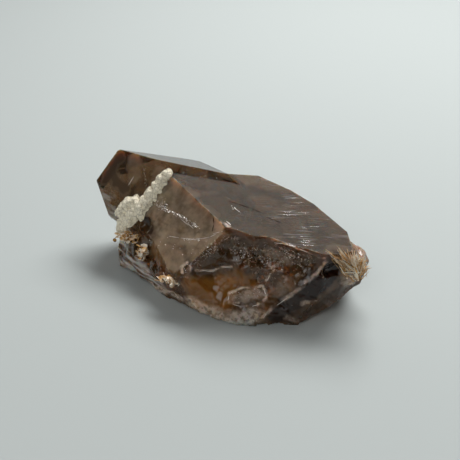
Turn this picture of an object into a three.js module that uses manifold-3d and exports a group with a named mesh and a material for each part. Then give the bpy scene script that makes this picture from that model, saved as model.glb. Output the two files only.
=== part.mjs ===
// A smoky quartz crystal: two crystals grown together in one solid, with a feldspar seam in the valley
// between them and golden mica grown on both ends.
// Millimetres, +Z up. Every face is measured from the front corner, the point where the top face, the
// front-left face and the broken front meet, and the finished group stands on the resting face at Z = 0.
import * as THREE from 'three';
import { mergeVertices } from 'three/addons/utils/BufferGeometryUtils.js';
import { SimplexNoise } from 'three/addons/math/SimplexNoise.js';
import Module from 'manifold-3d';

const wasm = await Module();
wasm.setup();

// Driving dimensions.
const CORNER_HEIGHT = 22;       // front corner above the resting face
const BLOCK_SIZE = 90;          // side of the rough block that the faces are cut from
const CUTTER_WIDTH = 240;       // across a flat cutter
const CUTTER_DEPTH = 100;       // how far a cutter reaches out from its face
const FINE_CELL = 1;            // spacing of the relief on the large broken front
const COARSE_CELL = 2.2;        // spacing of the relief on the other broken faces
const RELIEF_WIDTH = 80;        // across the relief of a broken face
const TOUCH_GAP = 0.3;          // clearance between a grown-on mineral and what it grows on
const MERGE_DISTANCE = 1e-4;    // corners closer than this are one corner

// Faces, each with its compass bearing and its slope from level in degrees, and its distance in millimetres
// from the front corner. Bearing 0 faces +X and 90 faces +Y; slope 90 is upright, and 180 faces down.
const MAIN_FACES = {
  top: { bearing: 0, slope: 10, distance: 0 },
  frontLeft: { bearing: 221, slope: 50, distance: 0 },
  backCrest: { bearing: 93, slope: 55, distance: 20.2 },
  backRightCrest: { bearing: 54, slope: 58, distance: 21 },
  rightCrest: { bearing: 44, slope: 62, distance: 21.8 },
  rightShoulder: { bearing: 32, slope: 66, distance: 22.9 },
  rightEnd: { bearing: 4, slope: 80, distance: 27.5 },
  leftEnd: { bearing: 196, slope: 88, distance: 22.5 },
};
const TWIN_FACES = {
  front: { bearing: 251, slope: 53, distance: -10.9 },
  top: { bearing: 60, slope: 24, distance: 9 },
  step: { bearing: 288, slope: 28, distance: -9.2 },
  back: { bearing: 101, slope: 70, distance: 32.6 },
  right: { bearing: 41, slope: 62, distance: 13.7 },
  backLeft: { bearing: 138, slope: 75, distance: 39.7 },
  left: { bearing: 229, slope: 76, distance: 3 },
  leftEdge: { bearing: 194, slope: 104, distance: 26.6 },
  lowerLeft: { bearing: 201, slope: 125, distance: 23.1 },
  inside: { bearing: 320, slope: 90, distance: -10 },
};

// Broken faces. Each is scalloped by shells, the bowl-shaped hollows of a conchoidal fracture, and roughened
// by noise. A shell is placed across and up its face from the foot of the corner's perpendicular.
const BROKEN_FRONT = {
  face: { bearing: 260, slope: 70, distance: 0 },
  roughness: 0.35,
  cell: FINE_CELL,
  shells: [
    { across: 2.5, up: -4.8, radius: 4.6, depth: 1.6 },
    { across: 9.4, up: -5.4, radius: 5.2, depth: 2 },
    { across: 17.6, up: -7.6, radius: 5.4, depth: 1.6 },
    { across: -1.4, up: -12.8, radius: 6.2, depth: 2.8 },
    { across: 9.4, up: -12.4, radius: 5.2, depth: 1.7 },
    { across: -4.6, up: -17.8, radius: 5, depth: 1.4 },
    { across: 5, up: -17.6, radius: 5.6, depth: 1.7 },
    { across: 13.2, up: -16.8, radius: 5, depth: 1.3 },
  ],
};
const OTHER_BROKEN_FACES = [
  { face: { bearing: 272, slope: 80, distance: 5.3 }, roughness: 0.3, shellSize: 5, shellDepth: 0.7 },
  { face: { bearing: 294, slope: 87, distance: 14.3 }, roughness: 0.5, shellSize: 4.5, shellDepth: 1.4 },
  { face: { bearing: 231, slope: 101, distance: 12.2 }, roughness: 0.5, shellSize: 4, shellDepth: 0.9 },
  { face: { bearing: 215, slope: 62, distance: 4.6 }, roughness: 0.3, shellSize: 6, shellDepth: 0.7 },
  { face: { bearing: 184, slope: 163, distance: 29.6 }, roughness: 0.5, shellSize: 7, shellDepth: 1.5 },
  { face: { bearing: 335, slope: 147, distance: 29.4 }, roughness: 0.3, shellSize: 5, shellDepth: 0.9 },
  { face: { bearing: 100, slope: 112, distance: 26.9 }, roughness: 0.5, shellSize: 8, shellDepth: 2 },
];
const TWIN_BROKEN_FACES = [
  { face: { bearing: 215, slope: 140, distance: 16.7 }, roughness: 0.4, shellSize: 5, shellDepth: 0.9 },
  { face: { bearing: 96, slope: 102, distance: 34.6 }, roughness: 0.5, shellSize: 7, shellDepth: 1.6 },
  { face: { bearing: 50, slope: 100, distance: 23.6 }, roughness: 0.4, shellSize: 6, shellDepth: 1.2 },
];

// The underside is broken too, and only its pads, which lie flat in one plane, carry the specimen.
const UNDERSIDE = {
  face: { bearing: 0, slope: 180, distance: CORNER_HEIGHT },
  roughness: 0.5,
  shellSize: 6,
  shellDepth: 1.3,
  pads: [{ across: 3, up: 5 }, { across: 15, up: 4.5 }, { across: -12, up: -8 }, { across: 4, up: -20 }],
};
const PAD_RADIUS = 4.2;         // the flat part of a pad
const PAD_REACH = 6.8;          // where the break is at its full depth again

// Roughness of a break: its mean depth, and two waves of noise as shares of the roughness, with their
// waves per millimetre.
const ROUGH_MEAN = 0.7;
const ROUGH_SWELL = { share: 0.8, perMillimetre: 0.1 };
const ROUGH_GRAIN = { share: 0.5, perMillimetre: 0.27 };
const GRAIN_OFFSET = 7;         // sets the grain's noise apart from the swell's

// The same for a stone, with waves per radius.
const STONE_LUMP = { share: 0.4, perRadius: 1.3 };
const STONE_KNOT = { share: 0.2, perRadius: 3 };

// The dark pocket beside the seam and the two ledges of the right-hand break, as blunt stones pressed into
// the crystal, each with its centre from the front corner and its three half-sizes.
const HOLLOWS = [
  { centre: [-21.3, 13, -7.6], halfSizes: [2.2, 2.2, 2.6], roughness: 0.25, detail: 3 },
  { centre: [25.2, -5.6, -8.4], halfSizes: [3.4, 2.4, 2.2], roughness: 0.25, detail: 3 },
  { centre: [20.4, -9, -15.2], halfSizes: [3.6, 2, 1.6], roughness: 0.25, detail: 3 },
];

// The rounded grey knob at the right-hand end.
const KNOB = { centre: [27.6, 2.6, -12.2], halfSizes: [5.6, 6.4, 5.8], roughness: 0.3, detail: 4 };

// Feldspar lumps, one after another down the valley from the top and then out over the left crystal.
const FELDSPAR_LUMPS = [
  { centre: [-15.2, 20.2, 2.1], size: 1.1 },
  { centre: [-16.4, 19.7, 0.7], size: 1.25 },
  { centre: [-17.8, 19, -1], size: 1.35 },
  { centre: [-19.2, 18.3, -2.7], size: 1.45 },
  { centre: [-20.6, 17.6, -4.5], size: 1.6 },
  { centre: [-22.1, 17, -6.3], size: 1.8 },
  { centre: [-23.7, 16.9, -7.9], size: 1.9 },
  { centre: [-25.2, 16.8, -9.4], size: 1.9 },
  { centre: [-26.6, 16.8, -10.8], size: 1.8 },
  { centre: [-23.6, 18.4, -5.3], size: 1.5 },
  { centre: [-25.4, 18.5, -6.2], size: 1.6 },
  { centre: [-26.8, 18.5, -7.6], size: 1.6 },
];
const FELDSPAR_WIDTH = 1.1;     // half-sizes of a lump, as shares of its size
const FELDSPAR_HEIGHT = 1.4;
const FELDSPAR_ROUGHNESS = 0.9;
const FELDSPAR_DETAIL = 2;

// The mica tuft. Its blades run from the root to their tips.
const TUFT_ROOT = { centre: [29.6, -4.4, -9.6], halfSizes: [2.4, 2, 2.4], roughness: 0.8, detail: 2 };
const TUFT_TIPS = [
  [20.9, -6.9, -0.4], [22.4, -7.3, -2], [23.8, -6.6, 0.2], [24.9, -7.6, -3.4], [26.3, -6.4, -0.3],
  [27.7, -6.9, -1.6], [28.9, -5.6, -1.2], [30.6, -5.9, -3.4], [32, -4.9, -5], [33.4, -3.8, -8.2],
  [31, -5.4, -10.6], [26, -7.4, -7.4],
];
const BLADE_HALF_WIDTH = 1.5;   // at the root
const BLADE_HALF_THICKNESS = 0.7;
const BLADE_TURN = 0.7;         // radians from one blade to the next, round its own length

// The mica books. Their flakes stand round a centre, within a reach, and are a little proud of the quartz.
const UPPER_BOOK = { centre: [-25.4, 14.2, -12.4], spread: [3.1, 1.8, 1], flakes: 8, size: 1.7, seed: 41 };
const MIDDLE_BOOK = { centre: [-21.4, 8.8, -13.6], spread: [1.2, 1.5, 1.4], flakes: 7, size: 1.4, seed: 53 };
const LOWER_BOOK = { centre: [-13.8, -0.7, -14.2], spread: [3, 1.6, 0.7], flakes: 7, size: 1.3, seed: 67 };
const BOOK_ROUGHNESS = 0.7;
const BOOK_DETAIL = 1;
const FLAKE_SIDES = 6;
const FLAKE_THICKNESS = 0.45;
const FLAKE_TOP = 0.5;          // radii of a flake's two faces, as shares of its size
const FLAKE_FOOT = 0.6;
const FLAKE_TILT = 2.4;         // radians over which the flakes are turned
const FLAKE_REACH = 1.6;        // how far apart flakes stand, as a share of the spread
const FLAKE_PROUD = 0.3;        // outward and upward

// Seeds of the noise and of the strewn shells.
const SEEDS = {
  noise: 1234, knob: 5, mainBreaks: 10, hollows: 20, twinBreaks: 31, underside: 50, lumps: 60, tuft: 90,
};

THREE.MathUtils.seededRandom(SEEDS.noise);
const noise = new SimplexNoise({ random: () => THREE.MathUtils.seededRandom() });

// Solids from closed geometries, and back.
function toSolid(geometry) {
  const bare = geometry.clone();
  bare.deleteAttribute('normal');
  bare.deleteAttribute('uv');
  const merged = mergeVertices(bare, MERGE_DISTANCE);
  return new wasm.Manifold(new wasm.Mesh({
    numProp: 3,
    vertProperties: new Float32Array(merged.attributes.position.array),
    triVerts: new Uint32Array(merged.index.array),
  }));
}

function toGeometry(solid) {
  const mesh = solid.getMesh();
  const geometry = new THREE.BufferGeometry();
  geometry.setAttribute('position', new THREE.BufferAttribute(mesh.vertProperties, 3));
  geometry.setIndex(new THREE.BufferAttribute(mesh.triVerts, 1));
  geometry.computeVertexNormals();
  return geometry;
}

function joined(solids) {
  return solids.reduce((all, next) => all.add(next));
}

function largestPiece(solid) {
  return solid.decompose().sort((a, b) => b.volume() - a.volume())[0];
}

// The outward direction of a face, and the frame that lays a flat pattern on it: across, up and out.
function faceNormal({ bearing, slope }) {
  const turn = THREE.MathUtils.degToRad(bearing);
  const tilt = THREE.MathUtils.degToRad(slope);
  return new THREE.Vector3(Math.sin(tilt) * Math.cos(turn), Math.sin(tilt) * Math.sin(turn), Math.cos(tilt));
}

function faceFrame(face) {
  const out = faceNormal(face);
  const isLevel = face.slope % 180 === 0;
  const across = isLevel ? new THREE.Vector3(1, 0, 0) : new THREE.Vector3(-out.y, out.x, 0).normalize();
  const up = new THREE.Vector3().crossVectors(out, across);
  const foot = out.clone().multiplyScalar(face.distance);
  return new THREE.Matrix4().makeBasis(across, up, out).setPosition(foot);
}

// A cutter is a slab that lies on the outside of a face. With relief, its near side is a grid of cells
// pushed into the crystal.
function faceCutter(face, width = CUTTER_WIDTH, cell = width, relief = null) {
  const cells = Math.round(width / cell);
  const slab = new THREE.BoxGeometry(width, width, CUTTER_DEPTH, cells, cells, 1);
  slab.translate(0, 0, CUTTER_DEPTH / 2);
  const position = slab.attributes.position;
  for (let i = 0; relief && i < position.count; i += 1) {
    if (position.getZ(i) < CUTTER_DEPTH / 2) {
      position.setZ(i, -relief(position.getX(i), position.getY(i)));
    }
  }
  return toSolid(slab.applyMatrix4(faceFrame(face)));
}

// Depth of a conchoidal break: the deepest shell at each point, so shells meet in sharp ridges.
function shellsDepth(across, up, shells) {
  let deepest = 0;
  for (const shell of shells) {
    const reach = Math.hypot(across - shell.across, up - shell.up) / shell.radius;
    deepest = Math.max(deepest, shell.depth * (1 - reach * reach));
  }
  return deepest;
}

// Shells strewn over a whole broken face, close enough to meet, each 0.7 to 1.3 times the size and from half
// to all of the depth.
function strewnShells(size, depth, seed) {
  THREE.MathUtils.seededRandom(seed);
  const random = () => THREE.MathUtils.seededRandom();
  const count = Math.round((RELIEF_WIDTH / size) ** 2 / 2);
  return Array.from({ length: count }, () => ({
    across: (random() - 0.5) * RELIEF_WIDTH,
    up: (random() - 0.5) * RELIEF_WIDTH,
    radius: size * (0.7 + 0.6 * random()),
    depth: depth * (0.5 + 0.5 * random()),
  }));
}

function roughDepth(across, up, roughness, offset) {
  const wave = ({ share, perMillimetre }, z) => (
    share * noise.noise3d(across * perMillimetre, up * perMillimetre, z)
  );
  return roughness * (ROUGH_MEAN + wave(ROUGH_SWELL, offset) + wave(ROUGH_GRAIN, offset + GRAIN_OFFSET));
}

function brokenCutter(rough, seed) {
  const { face, roughness, cell = COARSE_CELL, pads = [] } = rough;
  const bowls = rough.shells ?? strewnShells(rough.shellSize, rough.shellDepth, seed);
  const relief = (across, up) => {
    const toPad = Math.min(...pads.map((pad) => Math.hypot(across - pad.across, up - pad.up)), RELIEF_WIDTH);
    const pushed = shellsDepth(across, up, bowls) + roughDepth(across, up, roughness, seed);
    return Math.max(0, pushed) * THREE.MathUtils.smoothstep(toPad, PAD_RADIUS, PAD_REACH);
  };
  return faceCutter(face, RELIEF_WIDTH, cell, relief);
}

// A stone is a sphere stretched to its half-sizes, with lumps of noise.
function stone({ centre, halfSizes, roughness, detail }, seed) {
  const ball = new THREE.IcosahedronGeometry(1, detail);
  const position = ball.attributes.position;
  const point = new THREE.Vector3();
  const wave = ({ share, perRadius }) => (
    share * noise.noise3d(point.x * perRadius + seed, point.y * perRadius, point.z * perRadius)
  );
  for (let i = 0; i < position.count; i += 1) {
    point.fromBufferAttribute(position, i);
    const swelling = 1 + roughness * (wave(STONE_LUMP) + wave(STONE_KNOT));
    point.multiplyScalar(swelling).multiply(new THREE.Vector3(...halfSizes));
    position.setXYZ(i, ...point.add(new THREE.Vector3(...centre)));
  }
  return toSolid(ball);
}

// A crystal is the block with everything outside its faces cut away, and its breaks then cut with relief.
function crystal(faces, breaks, firstSeed) {
  let solid = toSolid(new THREE.BoxGeometry(BLOCK_SIZE, BLOCK_SIZE, BLOCK_SIZE));
  for (const face of [...Object.values(faces), ...breaks.map((rough) => rough.face)]) {
    solid = solid.subtract(faceCutter(face));
  }
  breaks.forEach((rough, i) => {
    solid = solid.subtract(brokenCutter(rough, firstSeed + i));
  });
  return solid;
}

function quartzSolid() {
  const main = crystal(MAIN_FACES, [BROKEN_FRONT, ...OTHER_BROKEN_FACES], SEEDS.mainBreaks);
  const twin = crystal(TWIN_FACES, TWIN_BROKEN_FACES, SEEDS.twinBreaks);
  let solid = joined([main, twin, stone(KNOB, SEEDS.knob)]);
  HOLLOWS.forEach((hollow, i) => {
    solid = solid.subtract(stone(hollow, SEEDS.hollows + i));
  });
  return solid.subtract(faceCutter(UNDERSIDE.face)).subtract(brokenCutter(UNDERSIDE, SEEDS.underside));
}

// What is left of a grown-on mineral when its neighbours are cut from it, where they are and moved by the
// gap each way.
const GAP_DIRECTIONS = [
  [0, 0, 0], [1, 0, 0], [-1, 0, 0], [0, 1, 0], [0, -1, 0], [0, 0, 1], [0, 0, -1],
  [-0.6, -0.6, 0.5], [0.6, -0.6, 0.5], [-0.6, -0.6, -0.5],
];

function clearOf(solid, neighbours) {
  let rest = solid;
  for (const shape of neighbours.map(toGeometry)) {
    for (const [x, y, z] of GAP_DIRECTIONS) {
      rest = rest.subtract(toSolid(shape.clone().translate(x * TOUCH_GAP, y * TOUCH_GAP, z * TOUCH_GAP)));
    }
  }
  return largestPiece(rest);
}

function feldsparSeam(quartz) {
  const lumps = FELDSPAR_LUMPS.map(({ centre, size }, i) => stone({
    centre,
    halfSizes: [size * FELDSPAR_WIDTH, size * FELDSPAR_WIDTH, size * FELDSPAR_HEIGHT],
    roughness: FELDSPAR_ROUGHNESS,
    detail: FELDSPAR_DETAIL,
  }, SEEDS.lumps + i));
  return clearOf(joined(lumps), [quartz]);
}

// A blade is a four-sided sliver, thick at its root and pointed at its tip.
function blade(root, tip, turn) {
  const along = new THREE.Vector3(...tip).sub(new THREE.Vector3(...root));
  const sliver = new THREE.ConeGeometry(1, along.length(), 4);
  sliver.translate(0, along.length() / 2, 0).scale(BLADE_HALF_WIDTH, 1, BLADE_HALF_THICKNESS).rotateY(turn);
  const upright = new THREE.Vector3(0, 1, 0);
  sliver.applyQuaternion(new THREE.Quaternion().setFromUnitVectors(upright, along.clone().normalize()));
  return toSolid(sliver.translate(...root));
}

function micaTuft(quartz) {
  const blades = TUFT_TIPS.map((tip, i) => blade(TUFT_ROOT.centre, tip, i * BLADE_TURN));
  return clearOf(joined([stone(TUFT_ROOT, SEEDS.tuft), ...blades]), [quartz]);
}

// A book of mica is a small lump with six-sided flakes standing out of it.
function micaBook({ centre, spread, flakes, size, seed }, neighbours) {
  THREE.MathUtils.seededRandom(seed);
  const random = () => THREE.MathUtils.seededRandom() - 0.5;
  const lump = stone({ centre, halfSizes: spread, roughness: BOOK_ROUGHNESS, detail: BOOK_DETAIL }, seed);
  const plates = Array.from({ length: flakes }, () => {
    const [top, foot] = [size * FLAKE_TOP, size * FLAKE_FOOT];
    const plate = new THREE.CylinderGeometry(top, foot, FLAKE_THICKNESS, FLAKE_SIDES);
    plate.rotateX(random() * FLAKE_TILT).rotateZ(random() * FLAKE_TILT);
    return toSolid(plate.translate(
      centre[0] + random() * spread[0] * FLAKE_REACH,
      centre[1] + random() * spread[1] * FLAKE_REACH - FLAKE_PROUD,
      centre[2] + random() * spread[2] * FLAKE_REACH + FLAKE_PROUD,
    ));
  });
  return clearOf(joined([lump, ...plates]), neighbours);
}

// Finishes.
const smokyQuartz = new THREE.MeshStandardMaterial({ color: '#5a4634', roughness: 0.08, metalness: 0 });
const feldspar = new THREE.MeshStandardMaterial({ color: '#cfc3a4', roughness: 0.8, metalness: 0 });
const goldenMica = new THREE.MeshStandardMaterial({ color: '#b98c4a', roughness: 0.35, metalness: 0.2 });

function named(name, solid, material) {
  const mesh = new THREE.Mesh(toGeometry(solid), material);
  mesh.name = name;
  return mesh;
}

const quartz = quartzSolid();
const seam = feldsparSeam(quartz);
const specimen = new THREE.Group();
specimen.add(named('quartz_crystal', quartz, smokyQuartz));
specimen.add(named('feldspar_seam', seam, feldspar));
specimen.add(named('mica_tuft', micaTuft(quartz), goldenMica));
specimen.add(named('mica_flakes_upper', micaBook(UPPER_BOOK, [quartz, seam]), goldenMica));
specimen.add(named('mica_flakes_middle', micaBook(MIDDLE_BOOK, [quartz, seam]), goldenMica));
specimen.add(named('mica_flakes_lower', micaBook(LOWER_BOOK, [quartz, seam]), goldenMica));

// Stand the specimen on its resting face, with the middle of its outline over the origin.
const middle = new THREE.Box3().setFromObject(specimen).getCenter(new THREE.Vector3());
specimen.position.set(-middle.x, -middle.y, CORNER_HEIGHT);
specimen.updateMatrixWorld(true);

export default specimen;
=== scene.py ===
import math
import random

import bmesh
import bpy
from mathutils import Matrix, Vector, noise
from mathutils.bvhtree import BVHTree


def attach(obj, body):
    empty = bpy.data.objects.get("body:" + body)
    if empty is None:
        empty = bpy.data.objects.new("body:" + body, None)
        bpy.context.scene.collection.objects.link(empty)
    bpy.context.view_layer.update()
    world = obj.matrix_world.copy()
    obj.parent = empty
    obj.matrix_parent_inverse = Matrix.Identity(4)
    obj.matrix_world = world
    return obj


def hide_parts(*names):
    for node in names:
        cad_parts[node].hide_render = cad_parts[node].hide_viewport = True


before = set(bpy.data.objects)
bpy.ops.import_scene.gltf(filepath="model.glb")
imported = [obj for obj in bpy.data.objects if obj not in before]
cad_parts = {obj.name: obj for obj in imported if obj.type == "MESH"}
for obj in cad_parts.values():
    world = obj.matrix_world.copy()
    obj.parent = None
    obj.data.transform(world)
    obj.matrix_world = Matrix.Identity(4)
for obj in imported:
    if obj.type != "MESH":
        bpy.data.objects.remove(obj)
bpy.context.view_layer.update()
MM = 0.001

# The view and the light. The camera looks down on the broken front from 35 degrees. A soft box stands high
# behind the specimen on the right, over a pale backdrop, so the shadow falls to the front left. A card high
# in front lights the seam. The room in front is dark but for a dim card that lifts the broken faces.
CAMERA_PLACE = Vector((0.41, -153.59, 120.47)) * MM
CAMERA_DOWN = math.radians(35)
FOCAL_PIXELS = 752
PICTURE_PIXELS = 460
SENSOR_MM = 36
BACKDROP_SIDE = Vector((0.0, 0.98, 0.2)).normalized()
BACKDROP_STRENGTH = 0.52
DARK_STRENGTH = 0.01
LIGHT_DISTANCE = 0.5
SOFT_BOX = {"side": (0.3, 0.5, 0.81), "size": (0.4, 0.2), "watts": 2.9}
HIGH_CARD = {"side": (-0.25, -0.62, 0.74), "size": (0.3, 0.3), "watts": 0.58}
DIM_CARD = {"side": (-0.45, -0.86, 0.24), "size": (0.4, 0.12), "watts": 0.15}


def linear(hex_colour):
    """An sRGB hex colour as linear red, green, blue and a full alpha."""
    values = [int(hex_colour[i:i + 2], 16) / 255 for i in (1, 3, 5)]
    return [v / 12.92 if v <= 0.04045 else ((v + 0.055) / 1.055) ** 2.4 for v in values] + [1.0]


def add_node(tree, kind, inputs=(), **settings):
    """A shader node with its settings. Each input is a value, or the output socket that feeds it."""
    made = tree.nodes.new(kind)
    for key, value in settings.items():
        setattr(made, key, value)
    for key, value in dict(inputs).items():
        if isinstance(value, bpy.types.NodeSocket):
            tree.links.new(value, made.inputs[key])
        else:
            made.inputs[key].default_value = value
    return made


camera_data = bpy.data.cameras.new("camera")
camera_data.sensor_width = SENSOR_MM
camera_data.lens = FOCAL_PIXELS / PICTURE_PIXELS * SENSOR_MM
camera = bpy.data.objects.new("camera", camera_data)
camera.location = CAMERA_PLACE
camera.rotation_euler = (math.pi / 2 - CAMERA_DOWN, 0, 0)
bpy.context.scene.collection.objects.link(camera)
bpy.context.scene.camera = camera
bpy.context.scene.view_settings.view_transform = "Standard"

world = bpy.data.worlds.new("soft_surround")
world.use_nodes = True
bpy.context.scene.world = world
sky = world.node_tree
sky.nodes.clear()
direction = add_node(sky, "ShaderNodeTexCoord").outputs["Generated"]
aim = add_node(sky, "ShaderNodeVectorMath", {0: direction, 1: BACKDROP_SIDE}, operation="DOT_PRODUCT")
glow = add_node(
    sky, "ShaderNodeMapRange",
    {"Value": aim.outputs["Value"], "From Min": 0.35, "From Max": 0.85,
     "To Min": DARK_STRENGTH, "To Max": BACKDROP_STRENGTH},
    interpolation_type="SMOOTHSTEP")
background = add_node(
    sky, "ShaderNodeBackground", {"Color": linear("#f4f8fb"), "Strength": glow.outputs["Result"]})
add_node(sky, "ShaderNodeOutputWorld", {"Surface": background.outputs[0]})

for name, light in (("soft_box", SOFT_BOX), ("high_card", HIGH_CARD), ("dim_card", DIM_CARD)):
    panel_data = bpy.data.lights.new(name, "AREA")
    panel_data.shape = "RECTANGLE"
    panel_data.size, panel_data.size_y = light["size"]
    panel_data.energy = light["watts"]
    panel = bpy.data.objects.new(name, panel_data)
    panel.location = Vector(light["side"]) * LIGHT_DISTANCE
    panel.rotation_euler = Vector(light["side"]).to_track_quat("Z", "Y").to_euler()
    bpy.context.scene.collection.objects.link(panel)

floor_shape = bmesh.new()
bmesh.ops.create_grid(floor_shape, x_segments=1, y_segments=1, size=1.5)
floor_mesh = bpy.data.meshes.new("floor")
floor_shape.to_mesh(floor_mesh)
floor_shape.free()
floor = bpy.data.objects.new("floor", floor_mesh)
bpy.context.scene.collection.objects.link(floor)
board = bpy.data.materials.new("painted_board")
board.use_nodes = True
board_shader = board.node_tree.nodes["Principled BSDF"]
board_shader.inputs["Base Color"].default_value = linear("#b9bfbd")
board_shader.inputs["Roughness"].default_value = 0.9
floor_mesh.materials.append(board)

# The quartz. Two crystals grown into one body of brown quartz. The crystal faces are flat and glossy, with
# growth lines across the top face. The rest broke as glass does, in bowls that meet in sharp ridges.
FLAT_FACE_AREA = 12 * MM * MM
FRONT_EDGE = 0.45 * MM
HIDDEN_EDGE = 0.9 * MM
HIDDEN_FACING = -0.25
FLAT_CUT = 0.5
TOP_FACE_NORMAL = Vector((math.sin(math.radians(10)), 0, math.cos(math.radians(10))))
FRONT_LEFT_NORMAL = Vector((
    math.sin(math.radians(50)) * math.cos(math.radians(221)),
    math.sin(math.radians(50)) * math.sin(math.radians(221)),
    math.cos(math.radians(50))))
FRONT_CORNER = Vector((-0.05, -12.56, 22.0))

# Where the picture shows the quartz crushed and pale, milky or finely cracked, and where light and shade are
# painted on it: highlights with the pale marks, glints with the cracked ones, a golden glow, silvery reflections
# and dark shade.
# Each mark follows a few pixels of the picture, found on the crystal along the line of sight, with how far
# it spreads in millimetres and how strong it is.
# Pale marks: crushed quartz, with painted highlights on a few bright spots and along the near edge of the top face.
PALE_AND_HIGHLIGHTS = [
    ([(190, 302), (203, 311), (222, 318), (240, 318), (256, 316)], 2.0, 0.75),
    ([(152, 285), (166, 291), (180, 298)], 1.2, 0.8),
    ([(259, 321), (272, 308), (290, 296), (306, 282), (318, 272), (326, 262)], 0.5, 0.75),
    ([(229, 293), (243, 288), (262, 286), (266, 292), (266, 299), (257, 305)], 0.38, 1.0),
    ([(229, 293), (229, 303), (240, 307), (257, 305)], 0.3, 0.7),
    ([(233, 304), (238, 303)], 0.5, 1.0), ([(271, 268), (277, 264)], 0.55, 1.0),
    ([(274, 270), (270, 275), (266, 281)], 0.32, 0.9),
    ([(196, 270), (212, 271), (223, 267), (232, 267)], 0.32, 0.8),
    ([(182, 272), (182, 266), (187, 263), (190, 268), (187, 276)], 0.5, 1.0),
    ([(272, 240), (290, 246), (308, 253), (325, 259)], 0.3, 0.6), ([(221, 222), (229, 226)], 0.35, 0.8),
    ([(302, 304), (306, 302), (315, 302)], 0.6, 0.6), ([(286, 318), (302, 322)], 0.8, 0.45),
    ([(355, 262), (352, 280)], 2.6, 0.6), ([(236, 300), (246, 297), (258, 293)], 1.5, 0.5),
    ([(357, 249), (364, 256)], 3.0, 0.4), ([(270, 252), (288, 262)], 1.2, 0.3),
    ([(288, 282), (276, 292)], 1.6, 0.25),
]
MILKY = [
    ([(300, 282), (285, 293), (272, 304)], 2.6, 0.5), ([(235, 297), (258, 294)], 1.6, 0.5),
    ([(134, 160), (134, 176)], 2.0, 0.4), ([(306, 306), (311, 312)], 1.6, 0.35),
    ([(160, 172), (154, 184)], 1.8, 0.35), ([(360, 250), (364, 262)], 4.0, 0.5),
    ([(158, 248), (176, 262)], 3.4, 0.9), ([(208, 246), (218, 234)], 2.2, 0.75),
    ([(164, 236), (196, 240)], 1.8, 0.9),
]
# Golden marks: painted glow, where light shines through the thin brown quartz of the breaks.
GOLDEN_GLOW = [
    ([(198, 288), (212, 292), (226, 284)], 3.2, 1.0), ([(238, 276), (250, 282)], 2.0, 0.7),
    ([(190, 282), (200, 300), (225, 303)], 2.0, 0.8),
]
# Cracked marks: fine cracks, painted with pale glints.
CRACKED_AND_GLINTS = [
    ([(197, 262), (206, 252), (216, 242)], 1.7, 1.0), ([(226, 242), (240, 250), (262, 254)], 2.2, 0.9),
    ([(262, 254), (284, 256), (303, 262)], 2.4, 1.0), ([(245, 262), (262, 264), (276, 266)], 1.6, 1.0),
    ([(262, 276), (280, 282), (296, 276)], 2.6, 0.45),
]
# Silky marks: painted reflections of the bright surround, in silvery bands.
SILVERY_REFLECTIONS = [([(119, 244), (126, 260), (140, 272), (158, 286)], 3.0, 1.0), ([(106, 200), (112, 218)], 2.5, 0.7)]
# Dark marks: painted shade, on the lower right face, in the pocket, under the ledge and where the quartz looks dark
# inside.
PAINTED_SHADE = [
    ([(338, 262), (326, 276), (310, 290)], 3.8, 1.0), ([(294, 302), (278, 314)], 3.0, 0.95),
    ([(148, 221), (150, 231)], 1.8, 0.9), ([(113, 172), (116, 182), (124, 189)], 1.6, 0.75),
    ([(106, 180), (112, 168), (120, 157)], 1.4, 0.75), ([(202, 272), (224, 273)], 1.0, 0.5),
    ([(236, 238), (262, 247), (290, 256), (318, 264)], 1.1, 0.6), ([(202, 262), (214, 262)], 1.4, 0.4),
    ([(268, 250), (292, 260)], 1.6, 0.4), ([(348, 282), (330, 296), (318, 306)], 1.6, 0.7),
    ([(182, 204), (206, 220)], 3.2, 0.3), ([(172, 190), (190, 196)], 2.4, 0.3),
]


def merged_copy(node):
    """A node's mesh with its loose triangles joined."""
    shape = bmesh.new()
    shape.from_mesh(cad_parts[node].data)
    bmesh.ops.remove_doubles(shape, verts=shape.verts, dist=0.001 * MM)
    return shape


def finished(name, shape, material, node=None):
    """The shape as a piece, riding on the specimen's one body and standing for the node if one is named."""
    mesh = bpy.data.meshes.new(name)
    shape.to_mesh(mesh)
    shape.free()
    mesh.materials.append(material)
    piece = bpy.data.objects.new(name, mesh)
    bpy.context.scene.collection.objects.link(piece)
    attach(piece, "root")
    if node:
        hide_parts(node)


def seen_at(surface, pixel):
    """The place in millimetres, and the way out of the surface, where the picture shows it at this pixel."""
    centre = PICTURE_PIXELS / 2
    sight = Vector((pixel[0] - centre, centre - pixel[1], -FOCAL_PIXELS))
    sight.rotate(camera.rotation_euler)
    place, outward, _, _ = surface.ray_cast(CAMERA_PLACE, sight)
    if place is None:
        beside = CAMERA_PLACE + sight.normalized() * CAMERA_PLACE.length
        place, outward, _, _ = surface.find_nearest(beside)
    return place / MM, outward


def strength_at(place, marks):
    """How strongly the nearest of the marks shows at a place, from 0 to 1, with ragged edges."""
    ragged = place + noise.noise_vector(place * 0.6) * 0.7 + noise.noise_vector(place * 1.9) * 0.3
    strongest = 0.0
    broken = min(1.0, max(0.2, 0.8 + 1.6 * noise.noise(place * 0.8)))
    for places, spread, strength in marks:
        steadied = place.lerp(ragged, min(1.0, spread / 1.5))
        for start, end in zip(places[:-1], places[1:]):
            share = (steadied - start).dot(end - start) / (end - start).length_squared
            away = (steadied - start.lerp(end, min(1.0, max(0.0, share)))).length / spread
            shown = strength * (broken if spread < 1 else 1.0)
            strongest = max(strongest, shown * min(1.0, max(0.0, 2.0 - 1.6 * away)))
    return strongest


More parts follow.
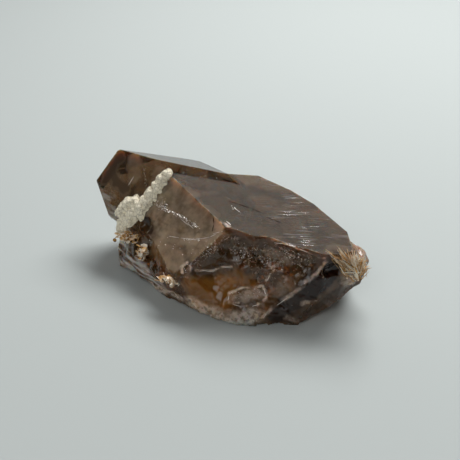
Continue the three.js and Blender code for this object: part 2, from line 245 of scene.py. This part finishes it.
def cut_grid(shape, tag, value, normal, spacing):
    """Cuts the flat faces with this tag into strips both ways, so that they can carry fine relief."""
    along = normal.orthogonal().normalized()
    for way in (along, normal.cross(along)):
        faces = [f for f in shape.faces if f[tag] == value]
        reach = [v.co.dot(way) / MM for f in faces for v in f.verts]
        for step in range(int(min(reach) / spacing) + 1, int(max(reach) / spacing) + 1):
            faces = [f for f in shape.faces if f[tag] == value]
            near = [f for f in faces if min(v.co.dot(way) for v in f.verts) / MM < step * spacing
                    < max(v.co.dot(way) for v in f.verts) / MM]
            parts = set(near) | {e for f in near for e in f.edges} | {v for f in near for v in f.verts}
            bmesh.ops.bisect_plane(
                shape, geom=list(parts), dist=1e-8, plane_co=way * step * spacing * MM, plane_no=way)


quartz_shape = merged_copy("quartz_crystal")
bmesh.ops.dissolve_limit(
    quartz_shape, angle_limit=math.radians(0.3), verts=quartz_shape.verts, edges=quartz_shape.edges)
ROUGH, FLAT, TOP, FRONT_LEFT = range(4)
sort = quartz_shape.faces.layers.int.new("sort")
for face in quartz_shape.faces:
    if face.calc_area() > FLAT_FACE_AREA:
        face[sort] = FLAT
        if face.normal.dot(TOP_FACE_NORMAL) > 0.9999:
            face[sort] = TOP
        if face.normal.dot(FRONT_LEFT_NORMAL) > 0.9999:
            face[sort] = FRONT_LEFT
cut_grid(quartz_shape, sort, TOP, TOP_FACE_NORMAL, FLAT_CUT)
cut_grid(quartz_shape, sort, FRONT_LEFT, FRONT_LEFT_NORMAL, FLAT_CUT)
bmesh.ops.triangulate(quartz_shape, faces=[f for f in quartz_shape.faces if f[sort] in (ROUGH, FLAT)])
for _ in range(6):
    long_edges = []
    for edge in quartz_shape.edges:
        cuttable = [f for f in edge.link_faces if f[sort] in (ROUGH, FLAT)]
        fronts = any(f.normal.dot(CAMERA_PLACE - f.calc_center_median()) > 0 for f in cuttable)
        if cuttable and edge.calc_length() > (FRONT_EDGE if fronts else HIDDEN_EDGE):
            long_edges.append(edge)
    bmesh.ops.subdivide_edges(quartz_shape, edges=long_edges, cuts=1)
    bmesh.ops.triangulate(quartz_shape, faces=[f for f in quartz_shape.faces if f[sort] in (ROUGH, FLAT)])
free = [v for v in quartz_shape.verts if all(f[sort] == ROUGH for f in v.link_faces) and v.co.z > 0.05 * MM]
for _ in range(3):
    bmesh.ops.smooth_vert(
        quartz_shape, verts=free, factor=0.5, use_axis_x=True, use_axis_y=True, use_axis_z=True)
quartz_shape.normal_update()


def bowl_depth(place, size):
    """Depth from 0 to 1 of bowls about this size, deepest in their middles, which meet in sharp ridges."""
    reach = noise.voronoi(place / size)[0][0]
    return 1.0 - min(1.0, reach * reach * 1.6)


def growth_lines(place):
    """Height of the fine growth lines on the top face, which fade out to the left."""
    from_corner = place - FRONT_CORNER
    across = from_corner.y - 0.22 * from_corner.x + 0.25 * noise.noise(from_corner * 0.12)
    fade = min(1.0, max(0.0, (from_corner.x - 5) / 9))
    return fade * 0.016 * noise.noise(Vector((from_corner.x * 0.06, across * 1.2, 3.0)))


surface = BVHTree.FromBMesh(quartz_shape)
traced = [
    [([seen_at(surface, pixel)[0] for pixel in pixels], spread, strength) for pixels, spread, strength in marks]
    for marks in (PALE_AND_HIGHLIGHTS, MILKY, GOLDEN_GLOW, CRACKED_AND_GLINTS, SILVERY_REFLECTIONS, PAINTED_SHADE)
]
pale_and_highlights, milky, golden, cracked_and_glints, silvery_reflections, dark, rough, lined = [
    quartz_shape.verts.layers.float.new(name)
    for name in ("pale_and_highlights", "milky", "golden", "cracked_and_glints", "silvery_reflections", "dark", "rough", "lined")
]
for vertex in quartz_shape.verts:
    sorts = {f[sort] for f in vertex.link_faces}
    place = vertex.co / MM
    strengths = [strength_at(place, marks) for marks in traced]
    vertex[pale_and_highlights], vertex[milky], vertex[golden], vertex[cracked_and_glints], vertex[silvery_reflections], vertex[dark] = strengths
    patch = min(1.0, max(0.0, 0.5 + 2.2 * noise.noise(place * 0.16)))
    hidden = vertex.normal.dot((CAMERA_PLACE - vertex.co).normalized()) < HIDDEN_FACING
    if sorts == {TOP}:
        vertex[milky] = 0.14
        vertex[lined] = min(1.0, max(0.0, (place.x - FRONT_CORNER.x - 4) / 8))
        vertex.co += TOP_FACE_NORMAL * growth_lines(place) * MM
        continue
    if sorts == {FRONT_LEFT}:
        mottled = 0.6 + 0.4 * noise.noise(place * 0.35) + 0.3 * noise.noise(place * 1.1)
        vertex[milky] = max(vertex[milky], mottled)
        vertex.co += FRONT_LEFT_NORMAL * 0.05 * noise.noise(place * 0.22) * MM
        continue
    if ROUGH in sorts:
        vertex[rough] = 1.0
        vertex[milky] = max(vertex[milky], 0.3)
        if hidden:
            vertex[pale_and_highlights] = max(vertex[pale_and_highlights], 0.2 * patch ** 3)
            vertex[cracked_and_glints] = max(vertex[cracked_and_glints], 0.25 * (1 - patch))
    else:
        vertex[milky] = max(vertex[milky], 0.1)
    planes = [f.normal.copy() for f in vertex.link_faces if f[sort] != ROUGH]
    if any(plane.dot(other) < 0.999 for plane in planes for other in planes) or vertex.co.z < 0.05 * MM:
        continue
    if ROUGH not in sorts:
        continue
    warped = place + noise.noise_vector(place * 0.25) * 1.4
    depth = 0.5 * bowl_depth(warped, 5.5) + 0.06 * noise.noise(place * 1.6)
    small_bowls = (0.1 + 0.22 * vertex[cracked_and_glints]) * bowl_depth(warped + Vector((31, 17, 5)), 1.7)
    small_bowls += (0.05 + 0.1 * vertex[cracked_and_glints]) * bowl_depth(place * 1.3, 0.8)
    depth += small_bowls * (1 - 0.85 * vertex[golden])
    depth += 0.25 * vertex[pale_and_highlights] * noise.noise(place * 0.9)
    push = vertex.normal * (0.3 - depth) * MM
    for plane in planes:
        push -= plane * push.dot(plane)
    vertex.co += push
    vertex.co.z = max(vertex.co.z, 0.0)
quartz_shape.normal_update()

# A sharp edge is chipped and catches the light, so it is painted as a fine pale line that comes and goes, partly
# chips and partly painted highlight. Crystal faces meet in a crisp edge at any angle, in degrees, and a break is
# rounded where it bends less than the second.
CRYSTAL_EDGE = 5
BROKEN_EDGE = 28
sharpest_bend = {}
for edge in quartz_shape.edges:
    bend = edge.calc_face_angle_signed(0)
    crystal_faces = all(f[sort] != ROUGH for f in edge.link_faces)
    edge.smooth = abs(bend) < math.radians(CRYSTAL_EDGE if crystal_faces else BROKEN_EDGE)
    for vertex in edge.verts:
        sharpest_bend[vertex] = max(sharpest_bend.get(vertex, 0.0), bend)
for vertex, bend in sharpest_bend.items():
    comes_and_goes = min(1.0, max(0.0, 0.45 + 1.8 * noise.noise(vertex.co / MM * 0.45)))
    chips_and_highlight = min(1.0, max(0.0, (math.degrees(bend) - 24) / 30)) * comes_and_goes
    vertex[pale_and_highlights] = max(vertex[pale_and_highlights], 0.5 * chips_and_highlight)
for face in quartz_shape.faces:
    face.smooth = True
print("quartz triangles", sum(len(f.verts) - 2 for f in quartz_shape.faces))
surface = BVHTree.FromBMesh(quartz_shape)

# Smoky quartz: clear silica, brown from natural radiation, with faint milky clouds that light seeps through.
# A break is as glossy as a crystal face, and pale where it is crushed. The specular level is under that of
# fresh quartz, to match the dark faces of the picture.
smoky_quartz = bpy.data.materials.new("smoky_quartz")
smoky_quartz.use_nodes = True
tree = smoky_quartz.node_tree
shader = tree.nodes["Principled BSDF"]
shader.inputs["IOR"].default_value = 1.544
shader.inputs["Specular IOR Level"].default_value = 0.36
shader.inputs["Subsurface Weight"].default_value = 1.0
shader.inputs["Subsurface Radius"].default_value = (1.0, 0.5, 0.25)
shader.inputs["Subsurface Scale"].default_value = 6 * MM
object_place = add_node(tree, "ShaderNodeTexCoord").outputs["Object"]
in_mm = add_node(
    tree, "ShaderNodeVectorMath", {0: object_place, "Scale": 1 / MM}, operation="SCALE").outputs[0]
marks_on = {
    name: add_node(tree, "ShaderNodeAttribute", attribute_name=name).outputs["Fac"]
    for name in ("pale_and_highlights", "milky", "golden", "cracked_and_glints", "silvery_reflections", "dark", "rough", "lined")
}

# Fine cracks, with painted glints: short pieces of a net of pale lines a millimetre across, and pale specks half a
# millimetre apart, stand for light glittering off the cracks.
bent = add_node(tree, "ShaderNodeTexNoise", {"Vector": in_mm, "Scale": 0.9, "Detail": 3.0}).outputs["Color"]
bent_place = add_node(tree, "ShaderNodeVectorMath", {0: bent, 1: (2.2, 2.2, 2.2), 2: in_mm},
                      operation="MULTIPLY_ADD").outputs[0]
net = add_node(tree, "ShaderNodeTexVoronoi", {"Vector": bent_place, "Scale": 0.8},
               feature="DISTANCE_TO_EDGE").outputs["Distance"]
net_line = add_node(tree, "ShaderNodeMapRange", {
    "Value": net, "From Min": 0.0, "From Max": 0.07, "To Min": 1.0, "To Max": 0.0}).outputs["Result"]
stretches = add_node(tree, "ShaderNodeTexNoise", {"Vector": in_mm, "Scale": 0.7, "Detail": 3.0}).outputs["Fac"]
shown = add_node(tree, "ShaderNodeMapRange", {
    "Value": stretches, "From Min": 0.5, "From Max": 0.62}).outputs["Result"]
lines = add_node(tree, "ShaderNodeMath", {0: net_line, 1: shown}, operation="MULTIPLY").outputs[0]
dots = add_node(tree, "ShaderNodeTexVoronoi", {"Vector": bent_place, "Scale": 2.0})
dot = add_node(tree, "ShaderNodeMapRange", {
    "Value": dots.outputs["Distance"], "From Min": 0.12, "From Max": 0.3, "To Min": 1.0, "To Max": 0.0})
few = add_node(tree, "ShaderNodeMath", {0: dots.outputs["Color"], 1: 0.62}, operation="GREATER_THAN").outputs[0]
glint_specks = add_node(tree, "ShaderNodeMath", {0: dot.outputs["Result"], 1: few}, operation="MULTIPLY").outputs[0]
either = add_node(tree, "ShaderNodeMath", {0: lines, 1: glint_specks}, operation="MAXIMUM").outputs[0]
crack_glints = add_node(tree, "ShaderNodeMath", {0: either, 1: marks_on["cracked_and_glints"]}, operation="MULTIPLY").outputs[0]

# Growth lines: long, fine and level in the picture, about a millimetre apart, in patches.
stretched = add_node(tree, "ShaderNodeMapping", {
    "Vector": in_mm, "Rotation": (0, 0, math.radians(12)), "Scale": (16, 1.4, 16)}, vector_type="TEXTURE").outputs[0]
grown = add_node(tree, "ShaderNodeTexNoise", {"Vector": stretched, "Scale": 1.0, "Detail": 1.0}).outputs["Fac"]
from_middle = add_node(tree, "ShaderNodeMath", {0: grown, 1: 0.5}, operation="SUBTRACT").outputs[0]
off_line = add_node(tree, "ShaderNodeMath", {0: from_middle}, operation="ABSOLUTE").outputs[0]
line = add_node(tree, "ShaderNodeMapRange", {
    "Value": off_line, "From Min": 0.0, "From Max": 0.045, "To Min": 1.0, "To Max": 0.0}).outputs["Result"]
spread_out = add_node(tree, "ShaderNodeMapping", {
    "Vector": in_mm, "Rotation": (0, 0, math.radians(12)), "Scale": (9, 3, 9)}, vector_type="TEXTURE").outputs[0]
patches = add_node(tree, "ShaderNodeTexNoise", {
    "Vector": spread_out, "Scale": 1.0, "Detail": 2.0}).outputs["Fac"]
in_patch = add_node(tree, "ShaderNodeMapRange", {
    "Value": patches, "From Min": 0.42, "From Max": 0.6}).outputs["Result"]
line_in_patch = add_node(tree, "ShaderNodeMath", {0: line, 1: in_patch}, operation="MULTIPLY").outputs[0]
growth = add_node(
    tree, "ShaderNodeMath", {0: line_in_patch, 1: marks_on["lined"]}, operation="MULTIPLY").outputs[0]

# Crushed quartz is a grain a third of a millimetre wide, with brown left in its pits. The same pale grain paints
# highlights on a few bright spots and along the near edge of the top face.
grain = add_node(tree, "ShaderNodeTexNoise", {
    "Vector": in_mm, "Scale": 0.9, "Detail": 7.0, "Roughness": 0.62}).outputs["Fac"]
grain_share = add_node(tree, "ShaderNodeMapRange", {
    "Value": grain, "From Min": 0.38, "From Max": 0.54, "To Min": 0.45}).outputs["Result"]
crushed_and_highlights = add_node(
    tree, "ShaderNodeMath", {0: marks_on["pale_and_highlights"], 1: grain_share}, operation="MULTIPLY").outputs[0]
pale_highlights_and_glints = add_node(tree, "ShaderNodeMath", {0: crushed_and_highlights, 1: crack_glints}, operation="MAXIMUM").outputs[0]

# Painted reflections: silvery bands along the lower left and on the thin face at the left end, where the bright
# surround is mirrored.
banded = add_node(tree, "ShaderNodeMapping", {
    "Vector": in_mm, "Rotation": (0, 0, math.radians(-46)), "Scale": (9, 1.1, 1.1)}, vector_type="TEXTURE").outputs[0]
bands = add_node(tree, "ShaderNodeTexNoise", {"Vector": banded, "Scale": 1.0, "Detail": 4.0}).outputs["Fac"]
band = add_node(tree, "ShaderNodeMapRange", {
    "Value": bands, "From Min": 0.42, "From Max": 0.6}).outputs["Result"]
reflection_bands = add_node(tree, "ShaderNodeMath", {0: band, 1: marks_on["silvery_reflections"]}, operation="MULTIPLY").outputs[0]

cloud = add_node(tree, "ShaderNodeTexNoise", {
    "Vector": in_mm, "Scale": 1 / 5, "Detail": 6.0, "Roughness": 0.6}).outputs["Fac"]
cloud_share = add_node(tree, "ShaderNodeMapRange", {
    "Value": cloud, "From Min": 0.3, "From Max": 0.7, "To Min": 0.55, "To Max": 1.3}).outputs["Result"]
haze = add_node(tree, "ShaderNodeMath", {0: marks_on["milky"], 1: cloud_share}, operation="MULTIPLY").outputs[0]
# The haze carries painted light and shade: a golden glow, dark shade, silvery reflections, and highlights and glints.
for share, layer in ((0.35, marks_on["golden"]), (0.7, marks_on["dark"]), (0.14, growth), (0.6, reflection_bands),
                     (0.85, pale_highlights_and_glints)):
    haze = add_node(tree, "ShaderNodeMath", {0: layer, 1: share, 2: haze}, operation="MULTIPLY_ADD",
                    use_clamp=True).outputs[0]
clear = add_node(tree, "ShaderNodeMath", {0: 1.0, 1: haze}, operation="SUBTRACT").outputs[0]
tree.links.new(clear, shader.inputs["Transmission Weight"])

# Painted light in the colour: golden glow, dark shade, silvery reflections, and pale highlights and glints.
colour = linear("#b7a087")
for share, tint in ((marks_on["rough"], "#80603f"), (marks_on["golden"], "#a87434"),
                    (marks_on["dark"], "#200c04"), (growth, "#c4b6b0"), (reflection_bands, "#c9c8c4"),
                    (pale_highlights_and_glints, "#dcc6b4")):
    colour = add_node(tree, "ShaderNodeMix", {"Factor": share, 6: colour, 7: linear(tint)},
                      data_type="RGBA").outputs[2]
tree.links.new(colour, shader.inputs["Base Color"])
gloss = add_node(tree, "ShaderNodeMapRange", {
    "Value": pale_highlights_and_glints, "To Min": 0.03, "To Max": 0.4}).outputs["Result"]
tree.links.new(gloss, shader.inputs["Roughness"])

# Ripples a millimetre apart spread over the breaks, and the crushed parts are rough to the touch.
ripple_bend = add_node(tree, "ShaderNodeTexNoise", {"Vector": in_mm, "Scale": 0.2, "Detail": 2.0}).outputs["Fac"]
ripples = add_node(tree, "ShaderNodeMath", {0: ripple_bend, 1: 60.0}, operation="MULTIPLY").outputs[0]
wave = add_node(tree, "ShaderNodeMath", {0: ripples}, operation="SINE").outputs[0]
height = add_node(tree, "ShaderNodeMath", {0: wave, 1: 0.1}, operation="MULTIPLY").outputs[0]
height = add_node(tree, "ShaderNodeMath", {0: height, 1: marks_on["rough"]}, operation="MULTIPLY").outputs[0]
for share, layer in ((0.6, crushed_and_highlights), (1.2, crack_glints), (0.22, growth), (0.8, reflection_bands)):
    height = add_node(tree, "ShaderNodeMath", {0: layer, 1: share, 2: height},
                      operation="MULTIPLY_ADD").outputs[0]
bump = add_node(tree, "ShaderNodeBump", {"Height": height, "Strength": 0.6, "Distance": 0.15 * MM})
tree.links.new(bump.outputs[0], shader.inputs["Normal"])
absorption = add_node(tree, "ShaderNodeVolumeAbsorption", {"Color": (0.42, 0.26, 0.1, 1.0), "Density": 130.0})
tree.links.new(absorption.outputs[0], tree.nodes["Material Output"].inputs["Volume"])
finished("quartz", quartz_shape, smoky_quartz, "quartz_crystal")

# The fractures in the quartz: thin films of air in old cracks at the surface. They mirror the light, and some
# are turned to flash it forwards, so they show as glitter and as fine lines. The dark lines are painted shade:
# dull dark films along hairline cracks on the top face and along the shadow where the top face steps down.
# Each group follows pixels of the picture, with its films, its spread and its greatest depth in millimetres.
GLITTER = [
    ([(156, 203), (163, 208), (170, 212)], 90, 0.7, 0.01),
    ([(172, 212), (184, 218), (199, 228)], 110, 0.5, 0.01),
    ([(160, 196), (166, 206)], 24, 0.8, 0.01), ([(232, 207), (240, 212)], 14, 0.7, 0.01),
    ([(262, 256), (275, 266), (284, 262)], 150, 1.6, 0.12), ([(236, 250), (256, 258)], 100, 1.8, 0.12),
    ([(284, 252), (300, 258)], 80, 1.3, 0.12), ([(200, 258), (214, 246)], 60, 1.1, 0.1),
    ([(232, 296), (262, 292)], 70, 1.2, 0.1), ([(184, 276), (188, 264)], 30, 0.6, 0.1),
    ([(144, 168), (146, 188)], 30, 0.3, 0.1), ([(270, 276), (300, 280)], 50, 2.0, 0.6),
    ([(152, 240), (190, 250)], 16, 3.0, 0.01), ([(178, 238), (200, 240)], 30, 0.35, 0.01),
]
GLITTER_HALF_SIZE = (0.06, 0.19)
FILM_THICKNESS = 0.03
PALE_LINES = [
    [(168, 236), (180, 238), (194, 239)], [(186, 240), (200, 239), (210, 237), (216, 234)],
    [(196, 238), (202, 239)], [(212, 234), (224, 231)], [(226, 221), (231, 225)], [(134, 176), (128, 186)],
    [(186, 222), (194, 229)], [(180, 218), (189, 226)],
    [(229, 294), (236, 290), (243, 288)], [(247, 287), (262, 286)], [(264, 288), (266, 297)],
    [(262, 304), (252, 306)], [(232, 304), (242, 307)], [(229, 295), (228, 302)],
    [(196, 270), (212, 271)], [(223, 267), (232, 267)], [(274, 270), (270, 275), (267, 281)],
    [(262, 318), (272, 308)], [(276, 305), (290, 297)], [(296, 291), (306, 282)],
    [(184, 278), (182, 271), (184, 266)], [(188, 264), (191, 269)],
    [(274, 241), (290, 246)], [(296, 248), (308, 252)],
]
# Dark lines: painted shade along hairline cracks, and along the shadow under the step by the top face.
DARK_LINES_AND_SHADOW = [
    [(228, 201), (238, 204), (250, 208), (262, 213)], [(266, 217), (274, 220), (281, 223)],
    [(208, 210), (213, 216), (214, 224), (212, 232)], [(196, 203), (206, 207)],
    [(222, 179), (232, 182), (241, 185)],
]
PALE_HALF_WIDTH = 0.07
DARK_HALF_WIDTH = 0.12
LINE_LIFT = 0.02
GLINT_SIDE = (CAMERA_PLACE.normalized() + Vector(SOFT_BOX["side"]).normalized()).normalized()


def film(shape, centre, facing, along, half_length, half_width):
    """Adds one thin six-sided film. It faces one way and lies along another."""
    along = (along - facing * along.dot(facing)).normalized()
    turn = Matrix((along, facing.cross(along), facing)).transposed().to_4x4()
    stretch = Matrix.Diagonal((half_length, half_width, 1, 1))
    bmesh.ops.create_cone(
        shape, cap_ends=True, segments=6, radius1=1, radius2=0.9, depth=FILM_THICKNESS,
        matrix=Matrix.Scale(MM, 4) @ Matrix.Translation(centre) @ turn @ stretch)


def crack_lines(pixel_lines, half_width):
    """Cracks that reach the surface: chains of slim films that just break through it."""
    shape = bmesh.new()
    for pixels in pixel_lines:
        spots = [seen_at(surface, pixel) for pixel in pixels]
        for (start, outward), (end, _) in zip(spots[:-1], spots[1:]):
            middle = (start + end) / 2 + outward * LINE_LIFT
            film(shape, middle, outward, end - start, (end - start).length / 2, half_width)
    return shape


draw = random.Random(7)
glitter_shape = crack_lines(PALE_LINES, PALE_HALF_WIDTH)
for pixels, count, spread, depth in GLITTER:
    spots = [seen_at(surface, pixel) for pixel in pixels]
    for _ in range(count):
        first = draw.randrange(len(spots) - 1)
        (start, outward), (end, _) = spots[first], spots[first + 1]
        scatter = Vector([draw.gauss(0, 0.5 * spread) for _ in range(3)])
        place = start.lerp(end, draw.random()) + scatter - outward * scatter.dot(outward)
        above, way, _, _ = surface.ray_cast((place + outward * 4) * MM, -outward)
        if above is None:
            continue
        centre = above / MM - way * draw.uniform(0, depth)
        turned = way.lerp(GLINT_SIDE, draw.random())
        facing = (turned + Vector([draw.gauss(0, 0.2) for _ in range(3)])).normalized()
        size = draw.uniform(*GLITTER_HALF_SIZE)
        film(glitter_shape, centre, facing, end - start, size, size * draw.uniform(0.3, 1))
air_film = bpy.data.materials.new("air_film_in_crack")
air_film.use_nodes = True
shader = air_film.node_tree.nodes["Principled BSDF"]
shader.inputs["Base Color"].default_value = linear("#fbf3e8")
shader.inputs["Metallic"].default_value = 0.35
shader.inputs["Roughness"].default_value = 0.3
finished("crack_glitter", glitter_shape, air_film)

# Painted shade: a dull dark film, without gloss, for the dark hairlines and the step's shadow.
dark_crack = bpy.data.materials.new("crack_and_step_shadow")
dark_crack.use_nodes = True
shader = dark_crack.node_tree.nodes["Principled BSDF"]
shader.inputs["Base Color"].default_value = linear("#1c120c")
shader.inputs["Specular IOR Level"].default_value = 0.0
shader.inputs["Roughness"].default_value = 0.9
finished("dark_cracks", crack_lines(DARK_LINES_AND_SHADOW, DARK_HALF_WIDTH), dark_crack)

# The feldspar seam: a rough crust of small blocky crystals, cream where they are fresh and stained brown in
# the hollows between them. It grew on the quartz, so its underside sinks into it.
SEAM_SINK = 0.45
SEAM_OUTWARD = Vector((-0.35, -0.75, 0.55)).normalized()
seam_shape = merged_copy("feldspar_seam")
for cuts, smoothings in ((1, 4), (2, 2)):
    bmesh.ops.subdivide_edges(seam_shape, edges=seam_shape.edges, cuts=cuts, use_grid_fill=True)
    bmesh.ops.triangulate(seam_shape, faces=seam_shape.faces)
    for _ in range(smoothings):
        bmesh.ops.smooth_vert(
            seam_shape, verts=seam_shape.verts, factor=0.5, use_axis_x=True, use_axis_y=True, use_axis_z=True)
seam_shape.normal_update()
hollow = seam_shape.verts.layers.float.new("hollow")
seam_moves = []
for vertex in seam_shape.verts:
    place = vertex.co / MM
    block = noise.voronoi(place / 0.9, distance_metric="CHEBYCHEV")[0]
    grain = noise.voronoi(place / 0.36, distance_metric="CHEBYCHEV")[0]
    height = 0.05 + 0.3 * (block[1] - block[0]) + 0.16 * (grain[1] - grain[0])
    vertex[hollow] = min(1.0, max(0.0, 1.0 - 8.0 * (block[1] - block[0])))
    outside = vertex.normal.dot(SEAM_OUTWARD) > 0
    seam_moves.append(vertex.normal * (height if outside else SEAM_SINK) * MM)
for vertex, move in zip(seam_shape.verts, seam_moves):
    vertex.co += move
seam_shape.normal_update()

# Feldspar: opaque and cream, with the dull gloss of cleaved grains. Iron has stained it in patches.
feldspar = bpy.data.materials.new("feldspar_crust")
feldspar.use_nodes = True
tree = feldspar.node_tree
shader = tree.nodes["Principled BSDF"]
object_place = add_node(tree, "ShaderNodeTexCoord").outputs["Object"]
stain = add_node(tree, "ShaderNodeTexNoise", {
    "Vector": object_place, "Scale": 1 / (3.0 * MM), "Detail": 7.0, "Roughness": 0.7}).outputs["Fac"]
between = add_node(tree, "ShaderNodeAttribute", attribute_name="hollow").outputs["Fac"]
soil = add_node(tree, "ShaderNodeMath", {0: between, 1: stain}, operation="MULTIPLY").outputs[0]
fresh = add_node(tree, "ShaderNodeValToRGB", {"Fac": stain})
fresh.color_ramp.elements[0].position = 0.3
fresh.color_ramp.elements[0].color = linear("#a98a55")
fresh.color_ramp.elements[1].position = 0.4
fresh.color_ramp.elements[1].color = linear("#fff6de")
colour = add_node(tree, "ShaderNodeMix", {
    "Factor": soil, 6: fresh.outputs[0], 7: linear("#5c4526")}, data_type="RGBA")
tree.links.new(colour.outputs[2], shader.inputs["Base Color"])
shader.inputs["Roughness"].default_value = 0.5
finished("feldspar", seam_shape, feldspar, "feldspar_seam")

# The mica tuft: a fan of thin golden blades, split along their length, that spring from one root on the
# right-hand end. Each blade is a flattened cone, fixed by its thick end.
TUFT_ROOT = Vector((29.6, -4.4, -9.6))
TUFT_TIPS = [
    (20.9, -6.9, -0.4), (22.4, -7.3, -2), (23.8, -6.6, 0.2), (24.9, -7.6, -3.4), (26.3, -6.4, -0.3),
    (27.7, -6.9, -1.6), (28.9, -5.6, -1.2), (30.6, -5.9, -3.4), (32, -4.9, -5), (33.4, -3.8, -8.2),
    (31, -5.4, -10.6), (26, -7.4, -7.4),
]
BLADES = 420
BLADE_HALF_WIDTH = 0.17
BLADE_HALF_THICKNESS = 0.06
tuft_shape = bmesh.new()
tone = tuft_shape.verts.layers.float.new("tone")
for _ in range(BLADES):
    tip = Vector(draw.choice(TUFT_TIPS)).lerp(Vector(draw.choice(TUFT_TIPS)), 0.25 * draw.random())
    start = TUFT_ROOT + Vector([draw.gauss(0, s) for s in (0.8, 0.5, 0.9)])
    start = start.lerp(tip, 0.35 * draw.random())
    tip = start.lerp(tip, draw.uniform(0.45, 1.0))
    along = tip - start
    turn = along.to_track_quat("Z", "Y").to_matrix().to_4x4()
    spin = Matrix.Rotation(draw.uniform(0, math.pi), 4, "Z")
    flatten = Matrix.Diagonal((BLADE_HALF_WIDTH * draw.uniform(0.6, 1.5), BLADE_HALF_THICKNESS, 1, 1))
    place = Matrix.Scale(MM, 4) @ Matrix.Translation(FRONT_CORNER + (start + tip) / 2) @ turn @ spin @ flatten
    blade = bmesh.ops.create_cone(
        tuft_shape, cap_ends=True, segments=6, radius1=1, radius2=0.25, depth=along.length, matrix=place)
    own_tone = draw.random()
    for vertex in blade["verts"]:
        vertex[tone] = own_tone

# Golden mica: thin pearly leaves, pale where the light strikes a split and deep brown in the gaps.
golden_mica = bpy.data.materials.new("golden_mica")
golden_mica.use_nodes = True
tree = golden_mica.node_tree
shader = tree.nodes["Principled BSDF"]
own_tone = add_node(tree, "ShaderNodeAttribute", attribute_name="tone").outputs["Fac"]
object_place = add_node(tree, "ShaderNodeTexCoord").outputs["Object"]
fleck = add_node(tree, "ShaderNodeTexNoise", {
    "Vector": object_place, "Scale": 1 / (0.8 * MM), "Detail": 3.0}).outputs["Fac"]
both = add_node(tree, "ShaderNodeMath", {0: own_tone, 1: fleck}, operation="ADD").outputs[0]
shade = add_node(tree, "ShaderNodeMath", {0: both, 1: 0.5}, operation="MULTIPLY").outputs[0]
gold = add_node(tree, "ShaderNodeValToRGB", {"Fac": shade})
gold.color_ramp.elements[0].position = 0.22
gold.color_ramp.elements[0].color = linear("#3a220d")
gold.color_ramp.elements[1].position = 0.62
gold.color_ramp.elements[1].color = linear("#fff7e6")
middle = gold.color_ramp.elements.new(0.38)
middle.color = linear("#e0ab5c")
tree.links.new(gold.outputs[0], shader.inputs["Base Color"])
shader.inputs["Metallic"].default_value = 0.15
shader.inputs["Roughness"].default_value = 0.35
finished("mica_blades", tuft_shape, golden_mica, "mica_tuft")

# The mica books: small stacks of golden flakes on the left, thin six-sided plates that split like pages and
# stand at all angles in the crust.
BOOKS = [
    ("mica_upper", "mica_flakes_upper", (-25.2, 14.0, -12.2), (3.0, 1.6, 1.2), 150),
    ("mica_middle", "mica_flakes_middle", (-21.2, 8.6, -13.4), (1.3, 1.3, 1.9), 100),
    ("mica_lower", "mica_flakes_lower", (-13.6, -1.0, -14.1), (2.7, 1.8, 0.8), 100),
]
for name, node, centre, spread, flakes in BOOKS:
    book_shape = bmesh.new()
    tone = book_shape.verts.layers.float.new("tone")
    for _ in range(flakes):
        start = Vector(centre) + Vector([draw.gauss(0, 0.42) * s for s in spread])
        lean = Matrix.Rotation(draw.uniform(-1.3, 1.3), 4, "X") @ Matrix.Rotation(draw.uniform(-1.3, 1.3), 4, "Y")
        stretch = Matrix.Diagonal((draw.uniform(0.5, 1.2), draw.uniform(0.25, 0.6), 1, 1))
        place = Matrix.Scale(MM, 4) @ Matrix.Translation(FRONT_CORNER + start) @ lean @ stretch
        flake = bmesh.ops.create_cone(
            book_shape, cap_ends=True, segments=6, radius1=1, radius2=0.9, depth=0.07, matrix=place)
        own_tone = draw.random()
        for vertex in flake["verts"]:
            vertex[tone] = own_tone
    finished(name, book_shape, golden_mica, node)
